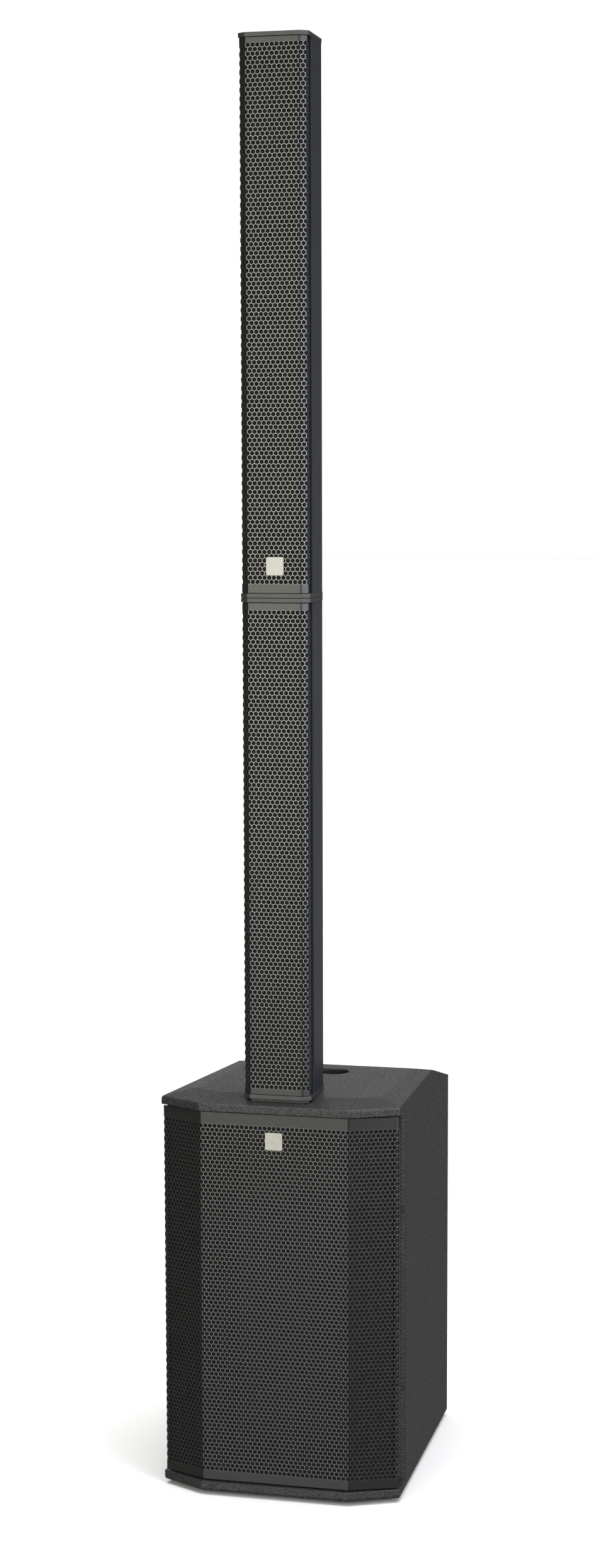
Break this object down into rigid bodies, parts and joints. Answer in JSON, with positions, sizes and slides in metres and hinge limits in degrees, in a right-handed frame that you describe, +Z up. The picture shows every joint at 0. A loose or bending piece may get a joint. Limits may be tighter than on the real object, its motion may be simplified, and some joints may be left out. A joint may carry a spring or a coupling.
{
  "type": "column pa speaker",
  "caption": "Portable column loudspeaker: a faceted tapered bass cabinet on the floor with slim perforated column elements plugged in on top.",
  "frame": {"origin": "on the floor, under the middle of the cabinet's bounding box", "axes": "+Z up along the column, -Y out of the front grille, +X to the right seen from the back, left-right symmetric in X"},
  "size_m": [0.351, 0.492, 2.028],
  "materials": {
    "cabinet_paint": "textured black paint over plywood",
    "black_plastic": "matt moulded black",
    "grille_steel": "fine satin black powder coat, perforated",
    "foam": "open-cell black foam",
    "badge_ivory": "smooth ivory, blank",
    "rubber": "matt",
    "black_steel": "satin black",
    "cone_paper": "pressed paper",
    "copper_wire": "wound enamelled wire",
    "surround_rubber": "soft satin",
    "spider_cloth": "treated cloth",
    "screw_steel": "blackened",
    "panel_aluminium": "black anodised, fine grain",
    "bare_steel": "zinc plated",
    "circuit_board": "solder mask",
    "sink_aluminium": "black anodised",
    "knob_plastic": "soft-touch black",
    "control_plastic": "moulded",
    "latch_plastic": "moulded red",
    "rocker_plastic": "polished black",
    "housing_aluminium": "smooth dark anodised",
    "cap_plastic": "matt moulded black",
    "plug_plastic": "glass-filled black",
    "horn_plastic": "moulded"
  },
  "bodies": {
    "base": {"top_panel": "cabinet_paint", "bottom_panel": "cabinet_paint", "side_wall_left": "cabinet_paint", "side_wall_right": "cabinet_paint", "rear_board": "cabinet_paint", "front_baffle": "cabinet_paint", "handle_cup": "black_plastic", "column_dock": "black_plastic", "sub_grille": "grille_steel", "sub_grille_foam": "foam", "sub_badge": "badge_ivory", "rubber_feet": "rubber", "grille_clips": "black_steel", "woofer_basket": "black_steel", "woofer_magnet": "black_steel", "woofer_bolts": "screw_steel", "port_tubes": "black_plastic", "amp_panel": "panel_aluminium", "amp_chassis": "bare_steel", "amp_board": "circuit_board", "heatsink": "sink_aluminium", "control_bodies": "control_plastic", "combo_jacks": "black_plastic", "small_jacks": "control_plastic", "mains_inlet": "black_plastic", "switch_frame": "black_plastic", "panel_screws": "screw_steel"},
    "woofer_motion": {"woofer_cone": "cone_paper", "woofer_dust_cap": "cone_paper", "woofer_voice_coil": "copper_wire", "woofer_surround": "surround_rubber", "woofer_spider": "spider_cloth"},
    "knob_input_a": {"knob_input_a": "knob_plastic"},
    "knob_input_b": {"knob_input_b": "knob_plastic"},
    "knob_bass_level": {"knob_bass_level": "knob_plastic"},
    "knob_master": {"knob_master": "knob_plastic"},
    "jack_latch_a": {"jack_latch_a": "latch_plastic"},
    "jack_latch_b": {"jack_latch_b": "latch_plastic"},
    "pair_button": {"pair_button": "knob_plastic"},
    "power_rocker": {"power_rocker": "rocker_plastic"},
    "lower_column": {"lower_housing": "housing_aluminium", "lower_top_cap": "cap_plastic", "lower_bottom_cap": "cap_plastic", "lower_plug": "plug_plastic", "lower_grille": "grille_steel", "lower_baffle": "black_steel", "lower_mid_frames": "black_steel"},
    "lower_mid_motion": {"lower_mid_cones": "cone_paper", "lower_mid_surrounds": "surround_rubber"},
    "upper_column": {"upper_housing": "housing_aluminium", "upper_top_cap": "cap_plastic", "upper_bottom_cap": "cap_plastic", "upper_plug": "plug_plastic", "upper_grille": "grille_steel", "upper_baffle": "black_steel", "upper_mid_frames": "black_steel", "upper_tweeter_horn": "horn_plastic", "upper_badge": "badge_ivory"},
    "upper_mid_motion": {"upper_mid_cones": "cone_paper", "upper_mid_surrounds": "surround_rubber"}
  },
  "joints": [
    {"name": "lower_column_lift", "type": "slide", "parent": "base", "child": "lower_column", "axis": [0, 0, 1], "range_m": [0, 0.06]},
    {"name": "upper_column_lift", "type": "slide", "parent": "lower_column", "child": "upper_column", "axis": [0, 0, 1], "range_m": [0, 0.06]},
    {"name": "woofer_throw", "type": "slide", "parent": "base", "child": "woofer_motion", "axis": [0, -1, 0], "range_m": [-0.006, 0.006], "stiffness_N_per_m": 2500, "deforming": ["woofer_surround", "woofer_spider"]},
    {"name": "lower_mid_throw", "type": "slide", "parent": "lower_column", "child": "lower_mid_motion", "axis": [0, -1, 0], "range_m": [-0.0015, 0.0015], "stiffness_N_per_m": 6000, "deforming": ["lower_mid_surrounds"]},
    {"name": "upper_mid_throw", "type": "slide", "parent": "upper_column", "child": "upper_mid_motion", "axis": [0, -1, 0], "range_m": [-0.0015, 0.0015], "stiffness_N_per_m": 6000, "deforming": ["upper_mid_surrounds"]},
    {"name": "knob_input_a_turn", "type": "hinge", "parent": "base", "child": "knob_input_a", "pos_m": [-0.066, 0.2235, 0.348], "axis": [0, 1, 0], "range_deg": [-150, 150]},
    {"name": "knob_input_b_turn", "type": "hinge", "parent": "base", "child": "knob_input_b", "pos_m": [-0.022, 0.2235, 0.348], "axis": [0, 1, 0], "range_deg": [-150, 150]},
    {"name": "knob_bass_level_turn", "type": "hinge", "parent": "base", "child": "knob_bass_level", "pos_m": [0.022, 0.2235, 0.348], "axis": [0, 1, 0], "range_deg": [-150, 150]},
    {"name": "knob_master_turn", "type": "hinge", "parent": "base", "child": "knob_master", "pos_m": [0.066, 0.2235, 0.348], "axis": [0, 1, 0], "range_deg": [-150, 150]},
    {"name": "jack_latch_a_push", "type": "slide", "parent": "base", "child": "jack_latch_a", "axis": [0, -1, 0], "range_m": [0, 0.003], "stiffness_N_per_m": 400, "springref_m": -0.001},
    {"name": "jack_latch_b_push", "type": "slide", "parent": "base", "child": "jack_latch_b", "axis": [0, -1, 0], "range_m": [0, 0.003], "stiffness_N_per_m": 400, "springref_m": -0.001},
    {"name": "pair_button_push", "type": "slide", "parent": "base", "child": "pair_button", "axis": [0, -1, 0], "range_m": [0, 0.002], "stiffness_N_per_m": 500, "springref_m": -0.001},
    {"name": "power_rocker_tip", "type": "hinge", "parent": "base", "child": "power_rocker", "pos_m": [0.02, 0.2195, 0.19], "axis": [1, 0, 0], "range_deg": [0, 24]}
  ]
}
